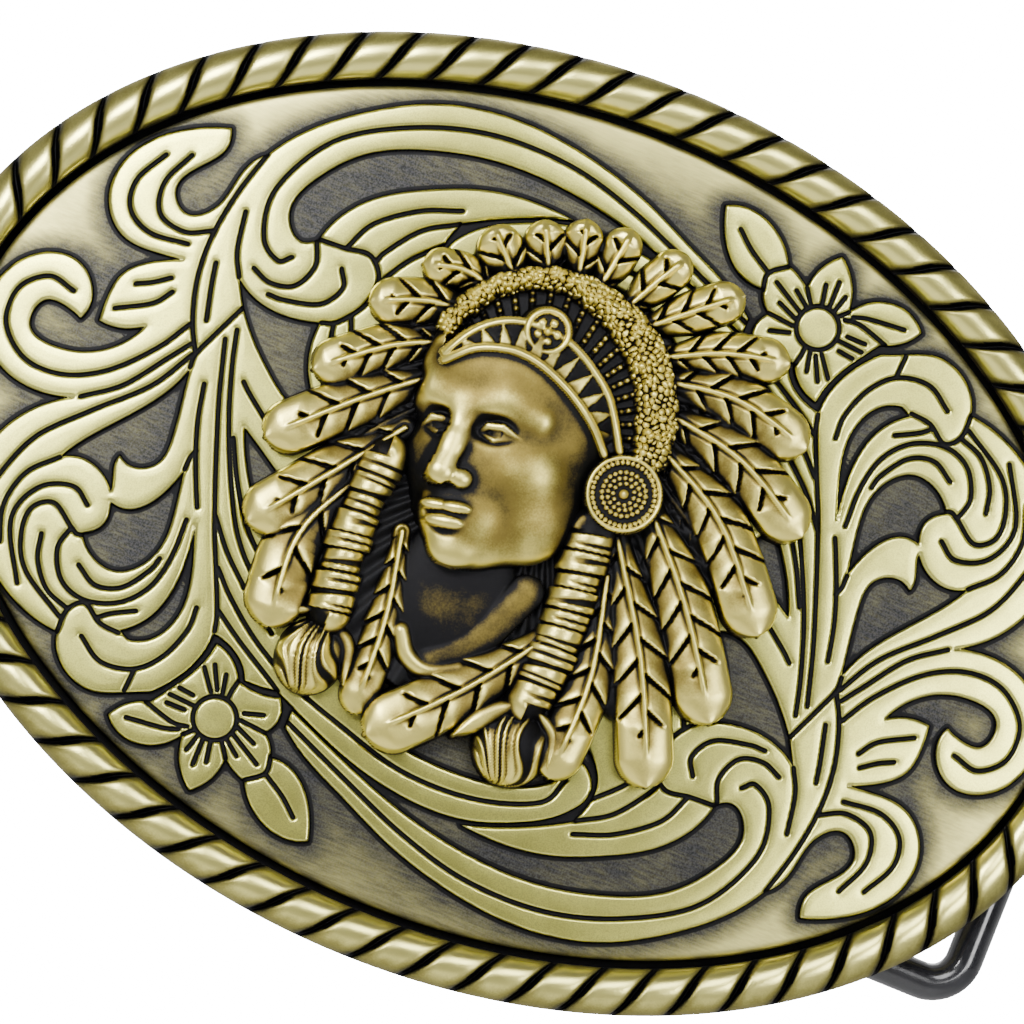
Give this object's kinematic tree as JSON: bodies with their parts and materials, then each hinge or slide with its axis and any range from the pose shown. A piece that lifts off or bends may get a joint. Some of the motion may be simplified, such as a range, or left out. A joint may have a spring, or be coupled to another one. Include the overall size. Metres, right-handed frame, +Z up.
{
  "type": "belt buckle",
  "caption": "Large oval western belt buckle: curved brass plate with a rope border, leafy scrollwork, flowers and a relief bust, with a hinged wire strap loop and a prong behind.",
  "frame": {"origin": "middle of the plate's back surface, where the strap lies", "axes": "+X along the belt towards the strap loop, +Z up as worn, +Y from the face into the wearer"},
  "size_m": [0.1, 0.0175, 0.073],
  "materials": {
    "plate_brass": "antiqued, brushed near the rim and dark between the scrolls",
    "border_brass": "antiqued, polished on the crowns",
    "overlay_brass": "satin, dark in the cuts",
    "bust_brass": "polished high spots, dark recesses",
    "back_brass": "satin antiqued",
    "rivet_brass": "satin",
    "black_wire": "gloss black"
  },
  "bodies": {
    "body": {"base_plate": "plate_brass", "rope_border": "border_brass", "scroll_overlay_left": "overlay_brass", "scroll_overlay_right": "overlay_brass", "flower_overlay_lower": "overlay_brass", "flower_overlay_upper": "overlay_brass", "bust_casting": "bust_brass", "bust_posts": "rivet_brass", "hinge_sleeve": "back_brass", "hinge_rivets": "rivet_brass", "prong_plate": "back_brass", "prong_rivets": "rivet_brass", "prong": "back_brass"},
    "loop": {"belt_loop": "black_wire"}
  },
  "joints": [
    {"name": "loop_hinge", "type": "hinge", "parent": "body", "child": "loop", "pos_m": [0.021, 0.0034, 0], "axis": [0, 0, 1], "range_deg": [0, 165]}
  ]
}
